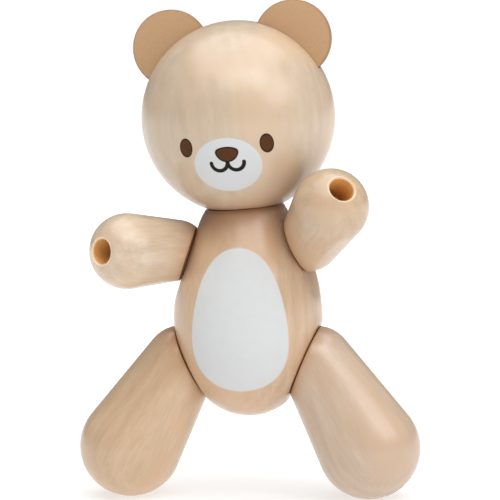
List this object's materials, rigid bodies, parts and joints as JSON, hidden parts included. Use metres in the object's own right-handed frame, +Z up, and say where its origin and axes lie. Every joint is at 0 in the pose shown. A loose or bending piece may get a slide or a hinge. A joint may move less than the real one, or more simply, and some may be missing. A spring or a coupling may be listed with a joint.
{
  "type": "wooden grasping toy bear",
  "caption": "Small turned wooden bear strung on elastic, with a ball head, disc ears, an egg body and round-ended arms and legs that swivel on slanted joint faces.",
  "frame": {"origin": "bottom centre of the bounding box, on the surface that both feet touch", "axes": "+Z up, the bear faces -Y and its own left side is +X"},
  "size_m": [0.107, 0.0634, 0.1543],
  "materials": {
    "head_wood": "satin lacquer over pale maple",
    "body_wood": "satin lacquer over pale maple, white painted belly",
    "arm_wood": "satin lacquer over pale maple",
    "leg_wood": "satin lacquer over pale maple",
    "ear_board": "matt tan board",
    "peg_wood": "plain sanded",
    "elastic_cord": "braided round elastic"
  },
  "bodies": {
    "torso": {"body": "body_wood", "neck_cord": "elastic_cord", "shoulder_cord": "elastic_cord", "hip_cord": "elastic_cord"},
    "head": {"head": "head_wood", "ear_left": "ear_board", "ear_right": "ear_board", "head_peg": "peg_wood", "head_cord": "elastic_cord"},
    "arm_right": {"arm_right": "arm_wood", "arm_cord_right": "elastic_cord"},
    "arm_left": {"arm_left": "arm_wood", "arm_cord_left": "elastic_cord"},
    "leg_right": {"leg_right": "leg_wood", "leg_cord_right": "elastic_cord", "leg_plug_right": "peg_wood"},
    "leg_left": {"leg_left": "leg_wood", "leg_cord_left": "elastic_cord", "leg_plug_left": "peg_wood"}
  },
  "joints": [
    {"name": "neck_turn", "type": "hinge", "parent": "torso", "child": "head", "pos_m": [0, 0.00192, 0.09072], "axis": [-0.0698, 0, 0.9976], "range_deg": [-180, 180]},
    {"name": "shoulder_turn_right", "type": "hinge", "parent": "torso", "child": "arm_right", "pos_m": [-0.01769, 0.00192, 0.07712], "axis": [-0.9399, -0.1221, 0.319], "range_deg": [-204, 40]},
    {"name": "shoulder_turn_left", "type": "hinge", "parent": "torso", "child": "arm_left", "pos_m": [0.01769, 0.00192, 0.07712], "axis": [0.9399, -0.1221, 0.319], "range_deg": [-8, 254]},
    {"name": "hip_turn_right", "type": "hinge", "parent": "torso", "child": "leg_right", "pos_m": [-0.01894, 0.00192, 0.04592], "axis": [-0.9135, 0, -0.4067], "range_deg": [-180, 180]},
    {"name": "hip_turn_left", "type": "hinge", "parent": "torso", "child": "leg_left", "pos_m": [0.01894, 0.00192, 0.04592], "axis": [0.9135, 0, -0.4067], "range_deg": [-180, 180]}
  ]
}
